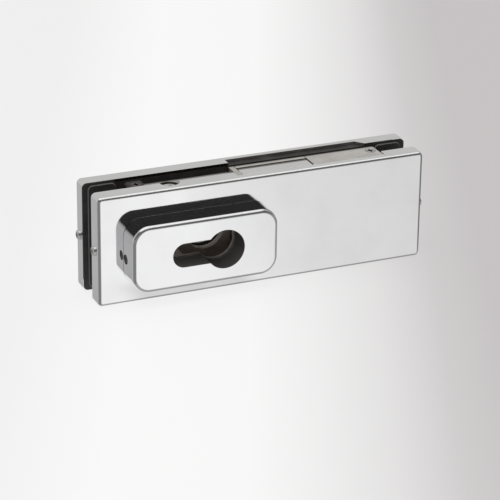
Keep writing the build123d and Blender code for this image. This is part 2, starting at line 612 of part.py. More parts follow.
def glass_pads():
    """Two rubber pads on the frame's wings, bevelled at the glass, on a sheet that covers the rim."""
    inner = CUTOUT_WIDTH / 2 + CUTOUT_MARGIN
    outer = HALF_LENGTH - PAD_END
    edge, corner = PAD_SHEET_INSET, COVER_CORNER - PAD_SHEET_INSET
    pads = []
    for side in (-1, 1):
        x0, x1 = sorted((side * inner, side * outer))
        outline = rect(x0, x1, PAD_EDGE, PATCH_HEIGHT - PAD_EDGE, PAD_CORNER)
        pad = slab(outline, RIM_Y, RIM_Y + PAD_THICKNESS)
        pad = chamfer(pad.faces().sort_by(Axis.Y)[-1].edges(), PAD_BEVEL)
        x0, x1 = sorted((side * inner, side * (HALF_LENGTH - edge)))
        sheet = rect(x0, x1, edge, PATCH_HEIGHT - edge, corner)
        pads.append(pad + slab(sheet, RIM_Y, RIM_Y + PAD_SHEET))
    return pads


def clamp_screws():
    """Four socket screws, from the rear plate into the front frame's ledges."""
    seat_y = -INNER_Y - CLAMP_HEAD_SINK
    length = seat_y - LEDGE_Y + CLAMP_THREAD
    screw = cheese_screw(CLAMP_SCREW_RADIUS, CLAMP_HEAD_RADIUS, CLAMP_HEAD_HEIGHT, length)
    screw -= Pos(0, 0, -RECESS_DEPTH) * extrude(RegularPolygon(CLAMP_SOCKET, 6), amount=RECESS_DEPTH, both=True)
    return [place(screw, (x, seat_y, z), (0, 1, 0)) for x, z in clamp_points()]


def fixing_screw():
    """Long screw from the bolt edge that pins the profile cylinder."""
    top = RAIL_TOP - FIXING_HEAD_SINK
    screw = cheese_screw(FIXING_SCREW_RADIUS, FIXING_HEAD_RADIUS, FIXING_HEAD_HEIGHT, top - SLIM_TOP)
    screw -= cross_recess(FIXING_HEAD_RADIUS, 0)
    return place(screw, (FIXING_X, MECHANISM_Y, top), (0, 0, 1))


def edge_screws():
    """Two small screws from the bolt edge that hold the lock case on the frame's ledges."""
    length = CASE_BAR_HEIGHT + EDGE_SCREW_THREAD
    screw = countersunk_screw(EDGE_SCREW_RADIUS, EDGE_SCREW_HEAD, length)
    return [place(screw, (side * EDGE_SCREW_X, EDGE_SCREW_Y, PATCH_HEIGHT), (0, 0, 1)) for side in (-1, 1)]


def cover_end_screws():
    """A pan-headed screw in each end of a cover."""
    screw = pan_screw(END_SCREW_RADIUS, END_SCREW_HEAD, END_SCREW_HEAD_HEIGHT, END_SCREW_LENGTH)
    return [place(screw, (side * HALF_LENGTH, END_SCREW_Y, PATCH_HEIGHT / 2), (side, 0, 0)) for side in (-1, 1)]


def make_nodes():
    """Every piece, by the name of its node."""
    front_pads, grubs, holders, ends = glass_pads(), grub_screws(), retainer_screws(), cover_end_screws()
    return {
        "front_cover": [front_cover()],
        "rear_cover": [rear_cover()],
        "front_escutcheon": [escutcheon()],
        "rear_escutcheon": [mirrored(escutcheon())],
        "front_escutcheon_retainer": [retainer()],
        "rear_escutcheon_retainer": [mirrored(retainer())],
        "front_retainer_screws": holders,
        "rear_retainer_screws": [mirrored(screw) for screw in holders],
        "front_escutcheon_grub_screws": grubs,
        "rear_escutcheon_grub_screws": [mirrored(screw) for screw in grubs],
        "lock_case": [lock_case()],
        "case_lid": [case_lid()],
        "lid_screws": lid_screws(),
        "deadbolt": [deadbolt()],
        "bolt_stop_pin": [stop_pin()],
        "brake_plunger": [brake_plunger()],
        "brake_spring": [brake_spring()],
        "front_clamp_frame": [front_frame()],
        "rear_clamp_plate": [rear_plate()],
        "front_glass_pads": front_pads,
        "rear_glass_pads": [mirrored(pad) for pad in front_pads],
        "clamp_screws": clamp_screws(),
        "cylinder_fixing_screw": [fixing_screw()],
        "edge_screws": edge_screws(),
        "front_cover_end_screws": ends,
        "rear_cover_end_screws": [mirrored(screw) for screw in ends],
    }


nodes = make_nodes()
os.makedirs("parts", exist_ok=True)
for name, pieces in nodes.items():
    solids = [solid for piece in pieces for solid in piece.solids()]
    export_step(Compound(solids), f"parts/{name}.step")
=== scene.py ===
# %% [markdown]
# A patch lock clamps the bottom corner of a glass door and holds a flat bolt, a keyhole for a
# profile cylinder and two polished covers. Its CAD model comes in as a fixed frame: every CAD
# piece is already in its place, so this script gives the pieces their finish, adds the small
# screws in more detail, and sets up the table, the light and the camera.

# %% Load the frame
import json
from math import cos, pi, radians, sin

import bmesh
import bpy
from mathutils import Matrix, Vector


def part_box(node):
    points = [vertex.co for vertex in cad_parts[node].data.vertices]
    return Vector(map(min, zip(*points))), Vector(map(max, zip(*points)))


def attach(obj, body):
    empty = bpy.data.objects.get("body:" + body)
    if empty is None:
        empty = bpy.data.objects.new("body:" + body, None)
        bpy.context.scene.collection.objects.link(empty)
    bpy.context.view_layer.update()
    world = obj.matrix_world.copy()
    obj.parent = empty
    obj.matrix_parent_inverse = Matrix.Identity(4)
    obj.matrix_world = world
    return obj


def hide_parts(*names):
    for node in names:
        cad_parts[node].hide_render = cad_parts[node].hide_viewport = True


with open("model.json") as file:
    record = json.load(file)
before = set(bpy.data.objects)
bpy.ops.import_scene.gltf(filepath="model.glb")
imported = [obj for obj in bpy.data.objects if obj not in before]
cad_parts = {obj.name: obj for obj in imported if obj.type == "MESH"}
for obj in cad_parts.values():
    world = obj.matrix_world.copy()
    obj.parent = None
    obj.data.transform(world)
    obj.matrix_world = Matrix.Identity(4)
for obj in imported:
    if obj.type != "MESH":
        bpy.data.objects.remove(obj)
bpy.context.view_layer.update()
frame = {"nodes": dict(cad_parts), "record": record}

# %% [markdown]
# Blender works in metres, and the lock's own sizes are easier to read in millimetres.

MM = 0.001

# %% [markdown]
# The camera looks at the front from the left and from above, with a long lens. A camera can be
# turned by hand, or by a matrix whose columns are its right, up and backward axes. The matrix
# is used, because it holds the slight roll as well.

# %% Camera
AZIMUTH, ELEVATION, ROLL = radians(-23.67), radians(23.10), radians(0.76)
DISTANCE = 1.092
SENSOR = 36.0
FOCAL_PIXELS, PICTURE_PIXELS = 2406.0, 500.0
AIM_X, AIM_DROP = -6.75 * MM, 9.56 * MM
FRONT_LOW, FRONT_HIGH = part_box("front_cover")
AIM = Vector((AIM_X, FRONT_LOW.y, (FRONT_LOW.z + FRONT_HIGH.z) / 2 - AIM_DROP))

backward = Vector((sin(AZIMUTH) * cos(ELEVATION), -cos(AZIMUTH) * cos(ELEVATION), sin(ELEVATION)))
level = Vector((cos(AZIMUTH), sin(AZIMUTH), 0))
upward = backward.cross(level)
right = cos(ROLL) * level + sin(ROLL) * upward
up = cos(ROLL) * upward - sin(ROLL) * level

camera = bpy.data.objects.new("camera", bpy.data.cameras.new("camera"))
camera.data.sensor_width = SENSOR
camera.data.lens = SENSOR * FOCAL_PIXELS / PICTURE_PIXELS
axes = Matrix((right, up, backward)).transposed()
camera.matrix_world = Matrix.LocRotScale(AIM + DISTANCE * backward, axes.to_quaternion(), None)
bpy.context.scene.collection.objects.link(camera)
bpy.context.scene.camera = camera
bpy.context.scene.view_settings.view_transform = "Standard"
print("lens in mm:", round(camera.data.lens, 1))

# %% [markdown]
# Shader nodes are quicker to read as sums. A small class wraps an output socket, so that
# adding or multiplying two of them, or one and a number, adds the Math node that does it. Any
# other node comes from one method, which sets the node up first and then fills its inputs.


# %% Shader sums
class Output:
    """An output socket that can stand in sums."""

    def __init__(self, shader, node, key=0):
        self.shader, self.node = shader, node
        self.socket = node.outputs[key] if node.outputs else None

    def out(self, key):
        """Another output of the same node."""
        return Output(self.shader, self.node, key)

    def math(self, operation, first, second):
        """A Math node on two outputs or numbers."""
        return self.shader.add("Math", {"operation": operation}, {0: first, 1: second})

    def __add__(self, other):
        return self.math("ADD", self, other)

    __radd__ = __add__

    def __sub__(self, other):
        return self.math("SUBTRACT", self, other)

    def __rsub__(self, other):
        return self.math("SUBTRACT", other, self)

    def __mul__(self, other):
        return self.math("MULTIPLY", self, other)

    __rmul__ = __mul__

    def __pow__(self, other):
        return self.math("POWER", self, other)

    def __abs__(self):
        return self.shader.add("Math", {"operation": "ABSOLUTE"}, {0: self})

    def least(self, other):
        """The smaller of the two."""
        return self.math("MINIMUM", self, other)

    def most(self, other):
        """The larger of the two."""
        return self.math("MAXIMUM", self, other)


class Shader:
    """The nodes of one material or of the world."""

    def __init__(self, owner):
        owner.use_nodes = True
        self.tree = owner.node_tree
        self.tree.nodes.clear()

    def add(self, kind, settings=None, inputs=None):
        """A node with its settings and inputs; the setting stops holds the colours of a ramp."""
        node = self.tree.nodes.new("ShaderNode" + kind)
        for name, value in (settings or {}).items():
            if name == "stops":
                self.set_stops(node.color_ramp.elements, value)
            else:
                setattr(node, name, value)
        for key, value in (inputs or {}).items():
            if isinstance(value, Output):
                self.tree.links.new(value.socket, node.inputs[key])
            else:
                node.inputs[key].default_value = value
        return Output(self, node)

    def set_stops(self, elements, stops):
        """Give a ramp its positions and colours."""
        while len(elements) < len(stops):
            elements.new(1.0)
        for element, (position, colour) in zip(elements, stops):
            element.position, element.color = position, (*colour, 1.0)

    def place(self):
        """The place of a point in its object, which at rest is its place in the frame."""
        return self.add("TexCoord").out("Object")

    def parts(self, vector):
        """The three components of a vector."""
        split = self.add("SeparateXYZ", None, {0: vector})
        return [split.out(axis) for axis in "XYZ"]

    def noise(self, scale, detail, stretch=None):
        """Soft noise of so many cells a metre, which a stretch draws out."""
        at = self.place()
        if stretch:
            at = self.add("Mapping", None, {"Vector": at, "Scale": stretch})
        return self.add("TexNoise", None, {"Vector": at, "Scale": scale, "Detail": detail})

    def band(self, value, low, high, first=0.0, last=1.0):
        """Smooth step: first up to low, last from high on."""
        ends = {1: low, 2: high, 3: first, 4: last}
        return self.add("MapRange", {"interpolation_type": "SMOOTHSTEP"}, {0: value, **ends})

    def mix(self, amount, first, second):
        """The first colour at 0, the second at 1."""
        return self.add("Mix", {"data_type": "RGBA"}, {0: amount, 6: first, 7: second}).out(2)

    def bump(self, height, depth):
        """Relief of the given depth in metres where height goes from 0 to 1."""
        return self.add("Bump", None, {"Height": height, "Distance": depth, "Strength": 1.0})

    def close(self, surface, kind="Material"):
        """End the nodes with their output."""
        self.add("Output" + kind, None, {"Surface": surface})


def colour(red, green, blue):
    """Colour with full alpha."""
    return (red, green, blue, 1.0)


BARE = "bare_"
FINISHES = {}
for bare in bpy.data.materials:
    bare.name = BARE + bare.name


def finish(name):
    """An empty material with the shader that fills it."""
    FINISHES[name] = bpy.data.materials.new(name)
    return FINISHES[name], Shader(FINISHES[name])


print("bare materials from the CAD model:", len(bpy.data.materials))


# %% [markdown]
# The lock stands on a plain pale table that goes from white on the left to a light grey on the
# right. The polished covers mirror the table just in front of them, so its brightness matters
# twice: once where the camera sees it and once where the steel does. Both are colour ramps, and
# each needs its own measure on the table: across the picture, or along the lock.

# %% Measures on the table
SPAN = 0.227
LEFT_END, RIGHT_END = FRONT_LOW.x, FRONT_HIGH.x


def across(shader):
    """0 at the picture's left edge and 1 at its right, measured on the table."""
    x, y, _ = shader.parts(shader.place())
    return (x * level.x + y * level.y) * (1 / SPAN) + 0.5


def leaning(shader, slope):
    """The place along the lock, measured in front of it on lines that lean by this slope."""
    x, y, _ = shader.parts(shader.place())
    return x + (y - FRONT_LOW.y).least(0.0) * slope


print("table across the picture in m:", SPAN)

# %% [markdown]
# To the eye the table is matt, and it takes only a faint shadow, as in the light of a photo tent.
# To the steel it glows by itself: bright in front of the lock, darker at both ends, where a real
# tent is open, and darker again in the shade of the raised housing. Two tables could do this,
# but Light Path tells the two kinds of ray apart and needs only one.

# %% Table finish
SHADOW_LIFT = 0.86
LEAN, CORNER_LEAN = 0.25, 0.75
RAMP_START, RAMP_EXTRA = 0.06, 30 * MM
OPEN_SIDE, OPEN_SOFT = 0.5, 12 * MM
SHADE, SHADE_REACH, SHADE_SOFT = 0.24, 26 * MM, 14 * MM
HOUSING_LOW, HOUSING_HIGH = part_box("front_escutcheon")
HOUSING_X = (HOUSING_LOW.x + HOUSING_HIGH.x) / 2
HOUSING_HALF = (HOUSING_HIGH.x - HOUSING_LOW.x) / 2

table_finish, shader = finish("table")
seen = shader.add("ValToRGB", {"stops": [
    (0.01, (0.87, 0.87, 0.87)), (0.25, (0.945, 0.945, 0.945)), (0.50, (0.935, 0.935, 0.935)),
    (0.63, (0.86, 0.855, 0.855)), (0.75, (0.77, 0.76, 0.76)), (0.87, (0.63, 0.61, 0.615)),
    (0.98, (0.575, 0.55, 0.557)),
]}, {0: across(shader)})
along = (leaning(shader, LEAN) - LEFT_END) * (1 / (RIGHT_END - LEFT_END + RAMP_EXTRA))
mirrored = shader.add("ValToRGB", {"stops": [
    (0.00, (0.46, 0.46, 0.465)), (0.055, (0.43, 0.43, 0.43)), (0.072, (0.95, 0.95, 0.95)),
    (0.36, (0.95, 0.95, 0.95)), (0.50, (0.85, 0.85, 0.85)), (0.66, (0.79, 0.785, 0.785)),
    (1.00, (0.735, 0.73, 0.73)),
]}, {0: along + RAMP_START})
open_side = shader.band(leaning(shader, CORNER_LEAN) - RIGHT_END, 0.0, OPEN_SOFT)
x, y, _ = shader.parts(shader.place())
shade = shader.band(abs(x - HOUSING_X), HOUSING_HALF - SHADE_SOFT, HOUSING_HALF, 1.0, 0.0)
shade = shade * shader.band(FRONT_LOW.y - y, SHADE_REACH - SHADE_SOFT, SHADE_REACH, 1.0, 0.0)
strength = (1 - OPEN_SIDE * open_side) * (1 - SHADE * shade)
glow = shader.add("Emission", None, {"Color": mirrored, "Strength": strength})
matt = shader.add("BsdfDiffuse", None, {"Color": seen})
lift = shader.add("Emission", None, {"Color": seen, "Strength": 1.0})
matt = shader.add("MixShader", None, {0: SHADOW_LIFT, 1: matt, 2: lift})
rays = shader.add("LightPath")
shader.close(shader.add("MixShader", None, {0: rays.out("Is Glossy Ray"), 1: matt, 2: glow}))
print("finish:", table_finish.name)

# %% [markdown]
# The table is one square, large enough that no view shows its edge. It lies a hair under the
# lock, so that the two surfaces don't fight for the same place.

# %% Table
TABLE_HALF = 3.0
TABLE_DROP = 0.2 * MM
mesh = bmesh.new()
bmesh.ops.create_grid(mesh, x_segments=1, y_segments=1, size=TABLE_HALF)
bmesh.ops.translate(mesh, verts=mesh.verts, vec=(0, 0, -TABLE_DROP))
table = bpy.data.objects.new("table", bpy.data.meshes.new("table"))
mesh.to_mesh(table.data)
mesh.free()
table.data.materials.append(table_finish)
bpy.context.scene.collection.objects.link(table)
print("table side in m:", 2 * TABLE_HALF)

# %% [markdown]
# Mirror-polished steel has no colour of its own, so the room round it makes the picture. The
# world is a soft room: a white panel overhead, a light grey wall behind, and a dark side
# towards the camera, which draws the crisp dark lines along bends and the raised housing. Low
# down, that side is lighter, so that a cover seen straight from the front isn't black. The
# room could be built of lit panels, but a world shader gives the same without their noise. The
# panel lights the lock more than the steel shows it, so that what mirrors it stays below white.

# %% Room
PANEL, PANEL_MIRRORED = 1.95, 1.02
WALL, DARK, LOW = 0.56, 0.025, 0.36
PANEL_EDGE, PANEL_TILT = (0.80, 0.87), 0.08
SIDE_EDGE = (-0.45, 0.30)
LOW_EDGE = (0.04, 0.16)
world = bpy.data.worlds.new("room")
bpy.context.scene.world = world
room = Shader(world)
_, depth, height = room.parts(room.add("TexCoord").out("Generated"))
overhead = room.band(height - PANEL_TILT * depth, *PANEL_EDGE)
behind = room.band(depth, *SIDE_EDGE, DARK, WALL).most(room.band(height, *LOW_EDGE, LOW, 0.0))
glossy = room.add("LightPath").out("Is Glossy Ray")
panel = PANEL - (PANEL - PANEL_MIRRORED) * glossy
light = overhead * panel + (1 - overhead) * behind
backdrop = room.add("Background", None, {"Color": colour(1.0, 0.995, 0.985), "Strength": light})
room.close(backdrop, "World")
print("room:", PANEL, PANEL_MIRRORED, WALL, DARK, LOW)

# %% [markdown]
# One large soft lamp high over the left shoulder gives the shapes a direction and the table a
# faint shadow. An area lamp is used, because its size sets how soft that shadow is.

# %% Lamp
LAMP_PLACE = Vector((-1.1, -1.5, 2.6))
LAMP_SIZE = 2.2
LAMP_WATTS = 26.0
lamp = bpy.data.objects.new("key_lamp", bpy.data.lights.new("key_lamp", "AREA"))
lamp.data.shape = "DISK"
lamp.data.size = LAMP_SIZE
lamp.data.energy = LAMP_WATTS
lamp.location = LAMP_PLACE
lamp.rotation_euler = (AIM - LAMP_PLACE).to_track_quat("-Z", "Y").to_euler()
lamp.visible_glossy = False
bpy.context.scene.collection.objects.link(lamp)
print("lamp distance in m:", round((AIM - LAMP_PLACE).length, 2))

# %% [markdown]
# Both covers and both raised housings are stainless steel, pressed or cast and then polished
# until they mirror. A perfect mirror looks like a hole in the picture, so the finish gets what
# a real buffed sheet has: a very slight wave, fine buffing lines and patches of haze. The bends
# are greyer, partly as a duller polish and partly as painted shade, and bends that face up get
# less grey, which leaves a painted highlight. Inside the keyhole the metal is a dark matt colour,
# painted shade of the deep hole. A bend is found from the direction that the surface faces in,
# and the keyhole from the cylinder's mount in the record.

# %% Where the polish ends
WEB_LENGTH = 19.5 * MM
WEB_HALF = 5.7 * MM
POCKET_RADIUS = 15.8 * MM
HOLE_EDGE = (0.02 * MM, 0.09 * MM)
# Deep in the keyhole the inner parts are a pale matt colour: painted light for the dim hole.
HOLE_PAINTED_LIGHT = colour(0.66, 0.60, 0.55)
BEND_TURN, BEND_LEAN = (0.05, 0.5), (0.40, 0.75)
UPWARD = (0.05, 0.4)


def mount(name):
    """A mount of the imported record."""
    return next(row for row in frame["record"]["mounts"] if row["name"] == name)


BARREL = Vector(mount("cylinder_passage")["pos_m"])
BARREL_RADIUS = mount("cylinder_passage")["dims"]["r_mm"] * MM


def bend_of(shader):
    """1 on the bends between a front and its sides, nearer to the front, and 0 on both."""
    out = abs(shader.parts(shader.add("TexCoord").out("Normal"))[1])
    curved = shader.band(2 * out * (1 - out * out).most(0.0) ** 0.5, *BEND_TURN)
    return curved * shader.band(out, *BEND_LEAN)


def facing_up(shader):
    """1 where the surface leans up, and 0 where it stands or leans down."""
    return shader.band(shader.parts(shader.add("TexCoord").out("Normal"))[2], *UPWARD)


def keyhole(shader, radius):
    """1 on the walls of the keyhole, or of a round pocket in it, and 0 outside them."""
    x, _, z = shader.parts(shader.place())
    x, z = x - BARREL.x, z - BARREL.z
    from_axis = (x * x + z * z) ** 0.5
    beside = x - x.least(0.0).most(-WEB_LENGTH)
    from_web = (beside * beside + z * z) ** 0.5
    return shader.band((from_axis - radius).least(from_web - WEB_HALF), *HOLE_EDGE, 1.0, 0.0)


print("keyhole length in mm:", round((BARREL_RADIUS + WEB_LENGTH + WEB_HALF) / MM, 1))

# %% [markdown]
# The polish itself is a metallic surface with very little roughness. The buffing lines run along
# the patch, so their noise is drawn out along X. Where the mask of the bends is on, the steel is
# greyer and rougher, and where the keyhole's is on, it is no mirror any more. Two thin bands come
# on top, by their depth from the cover's face: the rim inside the keyhole is painted paler, a
# painted highlight, and the joint at the foot of a housing is dark.

# %% Polished steel
WAVE_DEPTH = 0.006 * MM
LINE_DEPTH = 0.0006 * MM
# The grey on bends is partly painted shade; the smaller grey on bends that face up leaves a painted
# highlight.
BEND_GREY, TOP_BEND_GREY = 0.85, 0.13
RIM_START, RIM_END = (-0.30 * MM, -0.20 * MM), (0.05 * MM, 0.15 * MM)
FOOT_START, FOOT_END = (0.02 * MM, 0.04 * MM), (0.22 * MM, 0.28 * MM)
polished_steel, shader = finish("polished_steel")
haze = shader.band(shader.noise(60, 4.0), 0.35, 0.75)
lines = shader.noise(900, 2.0, stretch=(0.04, 1.0, 1.0))
wave = shader.bump(shader.noise(55, 1.0), WAVE_DEPTH)
grain = {"Height": lines, "Distance": LINE_DEPTH, "Strength": 0.5, "Normal": wave}
bend = bend_of(shader)
# Painted shade on the bends, with less of it where they face up: a painted highlight.
grey = bend * (BEND_GREY - (BEND_GREY - TOP_BEND_GREY) * facing_up(shader))
hole = keyhole(shader, BARREL_RADIUS)
depth = abs(shader.parts(shader.place())[1]) + FRONT_LOW.y
rim = shader.band(depth, *RIM_START) * shader.band(depth, *RIM_END, 1.0, 0.0)
foot = shader.band(depth, *FOOT_START) * shader.band(depth, *FOOT_END, 1.0, 0.0)
# Inside the keyhole: a dark matt colour, painted shade of the deep hole, and a paler rim, a painted
# highlight.
inside = shader.mix(rim, colour(0.066, 0.060, 0.056), colour(0.42, 0.39, 0.37))
clean = shader.mix(haze, colour(0.90, 0.90, 0.905), colour(0.86, 0.86, 0.865))
clean = shader.mix(foot * 0.95, clean, colour(0.06, 0.06, 0.06))
buffed = shader.mix(grey, clean, colour(0.28, 0.28, 0.285))
surface = shader.add("BsdfPrincipled", None, {
    "Metallic": (1 - hole).least(1 - 0.15 * bend),
    "Base Color": shader.mix(hole, buffed, inside),
    "Roughness": (0.035 + 0.03 * haze + 0.02 * lines + 0.10 * bend).most(0.5 * hole),
    "Normal": shader.add("Bump", None, grain),
})
shader.close(surface)
print("finish:", polished_steel.name)

# %% [markdown]
# Painted shade darkens the case in and beside its gaps: its rear, its left end, the low rail left
# of the bolt, the play round the bolt and a ring round the head of the fixing screw. The painted
# shade is masked by place. A pair of values says where a mask fades in or out. A name that ends in
# X or Z stands for places in the frame, and the others are measured from the flange, the bolt or
# the screw.

# %% Painted shade on the case
BOLT_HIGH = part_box("deadbolt")[1]
BOLT_X = mount("bolt_end")["pos_m"][0]
BOLT_HALF = BOLT_HIGH.x - BOLT_X
RAIL_X, RAIL_Z = (-11.6 * MM, -11.3 * MM), (50.3 * MM, 51.0 * MM)
RAIL_FADE = (4.9 * MM, 6.6 * MM)
REAR_FADE = (1.6 * MM, 3.6 * MM)
PAD_X, PAD_FADE = (-54.6 * MM, -54.4 * MM), (-0.4 * MM, 1.2 * MM)
PLAY_START, PLAY_END = (0.05 * MM, 0.15 * MM), (0.45 * MM, 0.55 * MM)
SLOT_START, SLOT_END = (0.15 * MM, 0.28 * MM), (0.50 * MM, 0.70 * MM)
FAINT, FAINT_X = 0.12, (-9.0 * MM, -8.7 * MM)
RING_END = (5.1 * MM, 5.7 * MM)


def painted_shade_on_case(shader):
    """1 where the case gets painted shade, and 0 where it does not."""
    x, y, z = shader.parts(shader.place())
    behind_flange, behind_bolt = y - FRONT_HIGH.y, y - BOLT_HIGH.y
    beside_bolt = abs(x - BOLT_X) - BOLT_HALF
    rail = shader.band(x, *RAIL_X, 1.0, 0.0) * shader.band(z, *RAIL_Z, 1.0, 0.0)
    rail = rail * shader.band(behind_flange, *RAIL_FADE, 0.35, 1.0)
    pad = shader.band(x, *PAD_X, 1.0, 0.0) * shader.band(behind_flange, *PAD_FADE, 0.6, 1.0)
    beyond = shader.band(beside_bolt, *PLAY_END, 1.0, 0.0)
    play = shader.band(beside_bolt, *PLAY_START) * beyond
    slot = shader.band(behind_bolt, *SLOT_START) * shader.band(behind_bolt, *SLOT_END, 1.0, 0.0)
    faint = shader.band(x, *FAINT_X, FAINT, 0.0)
    low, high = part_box("cylinder_fixing_screw")
    from_x, from_y = x - (low.x + high.x) / 2, y - (low.y + high.y) / 2
    ring = shader.band((from_x * from_x + from_y * from_y) ** 0.5, *RING_END, 1.0, 0.0)
    dirt = shader.band(behind_bolt, *REAR_FADE)
    for mask in (rail, pad, play, slot * beyond, faint, ring):
        dirt = dirt.most(mask)
    return dirt


print("bolt's middle and half width in mm:", round(BOLT_X / MM, 2), round(BOLT_HALF / MM, 2))

# %% [markdown]
# The lock case is a zinc die casting, tumbled until it is smooth but not bright. Zinc cast
# this way is warm grey, dull and a little cloudy, with fine pores. It is still metal, so its
# colour goes into a metallic surface with a wide blur. A casting has no sharp edge: a Bevel node
# rounds the edges in the light without more faces. The angle that it turns the surface by also
# finds the edges inside the keyhole, which stay bare metal, while the rest there is a pale matt
# colour: painted light that brightens the deep hole.

# %% Cast zinc
PORE_DEPTH = 0.02 * MM
EDGE_ROUND = 0.15 * MM
EDGE_TURN = (0.75, 0.97)


def rounded(shader):
    """The surface's direction with the sharp edges rounded off."""
    return shader.add("Bevel", {"samples": 4}, {"Radius": EDGE_ROUND})


def soft_edge(shader, height, depth):
    """Relief on a surface whose edges are rounded off in the light."""
    relief = {"Height": height, "Distance": depth, "Strength": 0.6, "Normal": rounded(shader)}
    return shader.add("Bump", None, relief)


def sharp_edge(shader):
    """1 along the sharp edges, which stay bare metal, and 0 away from them."""
    true = shader.add("NewGeometry").out("True Normal")
    turn = shader.add("VectorMath", {"operation": "DOT_PRODUCT"}, {0: rounded(shader), 1: true})
    return shader.band(turn.out("Value"), *EDGE_TURN, 1.0, 0.0)


cast_zinc, shader = finish("cast_zinc")
cloud = shader.noise(180, 4.0)
pores = shader.band(shader.noise(2600, 3.0), 0.25, 0.45)
# Inside the keyhole, away from the sharp edges, the zinc gets painted light.
hole = keyhole(shader, POCKET_RADIUS) * (1 - sharp_edge(shader))
clean = shader.mix(shader.band(cloud, 0.3, 0.7), colour(0.66, 0.635, 0.605), colour(0.76, 0.735, 0.70))
# The mask darkens the case: painted shade.
with_painted_shade = shader.mix(painted_shade_on_case(shader) * 0.97, clean, colour(0.050, 0.042, 0.036))
surface = shader.add("BsdfPrincipled", None, {
    "Metallic": 1 - hole,
    "Base Color": shader.mix(hole, with_painted_shade, HOLE_PAINTED_LIGHT),
    "Roughness": 0.52 - 0.06 * shader.band(cloud, 0.4, 0.8),
    "Normal": soft_edge(shader, pores, PORE_DEPTH),
})
shader.close(surface)
print("finish:", cast_zinc.name)

# %% [markdown]
# The bolt is ground along its length and plated, so it is cleaner and brighter than the case and
# has fine straight lines. The lines are noise drawn out along the bolt. Brown grease from its
# channel stays on the rear edge.

# %% Ground bolt steel
GRIND_DEPTH = 0.004 * MM
GREASE_FADE = (-2.3 * MM, -1.2 * MM)
bolt_steel, shader = finish("bolt_steel")
grind = shader.noise(1500, 3.0, stretch=(1.0, 1.0, 0.03))
rub = shader.noise(90, 3.0)
ground = shader.mix(rub, colour(0.80, 0.80, 0.79), colour(0.88, 0.88, 0.865))
greasy = shader.band(shader.parts(shader.place())[1] - BOLT_HIGH.y, *GREASE_FADE)
surface = shader.add("BsdfPrincipled", None, {
    "Metallic": 1.0,
    "Base Color": shader.mix(greasy * 0.9, ground, colour(0.10, 0.075, 0.06)),
    "Roughness": 0.24 + 0.12 * grind,
    "Normal": soft_edge(shader, grind, GRIND_DEPTH),
})
shader.close(surface)
print("finish:", bolt_steel.name)

# %% [markdown]
# The plates inside are plain rolled steel. It shows the direction in which it was rolled and
# has darker stains of oil.

# %% Rolled steel
ROLL_DEPTH = 0.006 * MM
plain_steel, shader = finish("plain_steel")
rolled = shader.noise(1200, 3.0, stretch=(0.05, 1.0, 1.0))
stain = shader.band(shader.noise(110, 4.0), 0.45, 0.75)
# Inside the keyhole, away from the sharp edges, the plates get painted light.
inside = keyhole(shader, POCKET_RADIUS) * (1 - sharp_edge(shader))
clean = shader.mix(stain, colour(0.58, 0.58, 0.59), colour(0.44, 0.44, 0.45))
surface = shader.add("BsdfPrincipled", None, {
    "Metallic": 1 - inside,
    "Base Color": shader.mix(inside, clean, HOLE_PAINTED_LIGHT),
    "Roughness": 0.30 + 0.16 * rolled,
    "Normal": soft_edge(shader, rolled, ROLL_DEPTH),
})
shader.close(surface)
print("finish:", plain_steel.name)

# %% [markdown]
# The visible screws are zinc plated: bright, slightly cloudy, with the plating a touch bluer in
# some places and yellower in others. The recess of a head is painted dark: painted shade. The
# screws made further down carry an attribute that says how deep in the recess a point lies, and
# the finish reads it, so the painted shade follows the shape.

# %% Plated screws
PLATING_DEPTH = 0.002 * MM
screw_steel, shader = finish("screw_steel")
cloud = shader.noise(700, 3.0)
dirt = shader.add("Attribute", {"attribute_name": "dirt"}).out("Fac")
plated = shader.mix(shader.band(cloud, 0.35, 0.65), colour(0.70, 0.71, 0.74), colour(0.76, 0.75, 0.71))
surface = shader.add("BsdfPrincipled", None, {
    "Metallic": 1.0,
    # The attribute darkens recesses, some rims and whole screws: painted shade.
    "Base Color": shader.mix(shader.band(dirt, 0.0, 0.8), plated, colour(0.07, 0.065, 0.06)),
    "Roughness": 0.22 + 0.14 * cloud + 0.3 * dirt,
    "Normal": shader.bump(shader.noise(4000, 2.0), PLATING_DEPTH),
})
shader.close(surface)
print("finish:", screw_steel.name)

# %% [markdown]
# The clamp screws and the grub screws are blackened by oxide, which is thin: it stays dark and
# still shines a little like metal.

# %% Black oxide
black_steel, shader = finish("black_steel")
thin = shader.noise(900, 3.0)
worn = shader.band(thin, 0.4, 0.7)
surface = shader.add("BsdfPrincipled", None, {
    "Metallic": 0.85,
    "Base Color": shader.mix(worn, colour(0.035, 0.036, 0.040), colour(0.075, 0.073, 0.07)),
    "Roughness": 0.32 + 0.16 * thin,
})
shader.close(surface)
print("finish:", black_steel.name)

# %% [markdown]
# The two clamping plates are castings with a satin black coat. A coat that is sprayed on has a
# very fine orange-peel relief, and dust makes patches of it duller.

# %% Black coat
PEEL_DEPTH = 0.012 * MM
black_casting, shader = finish("black_casting")
dust = shader.band(shader.noise(140, 4.0), 0.4, 0.8)
coat = shader.mix(dust, colour(0.040, 0.037, 0.034), colour(0.064, 0.060, 0.056))
# Inside the keyhole the black coat gets a pale matt colour: painted light.
surface = shader.add("BsdfPrincipled", None, {
    "Base Color": shader.mix(keyhole(shader, BARREL_RADIUS), coat, HOLE_PAINTED_LIGHT),
    "Roughness": 0.46 + 0.15 * dust,
    "Specular IOR Level": 0.25,
    "Normal": shader.bump(shader.noise(1800, 2.0), PEEL_DEPTH),
})
shader.close(surface)
print("finish:", black_casting.name)

# %% [markdown]
# The pads that grip the glass are moulded rubber: matt, a trace brown, and lightly textured so
# that they do not stick to the glass. Their bevelled edge is painted paler: a painted highlight.

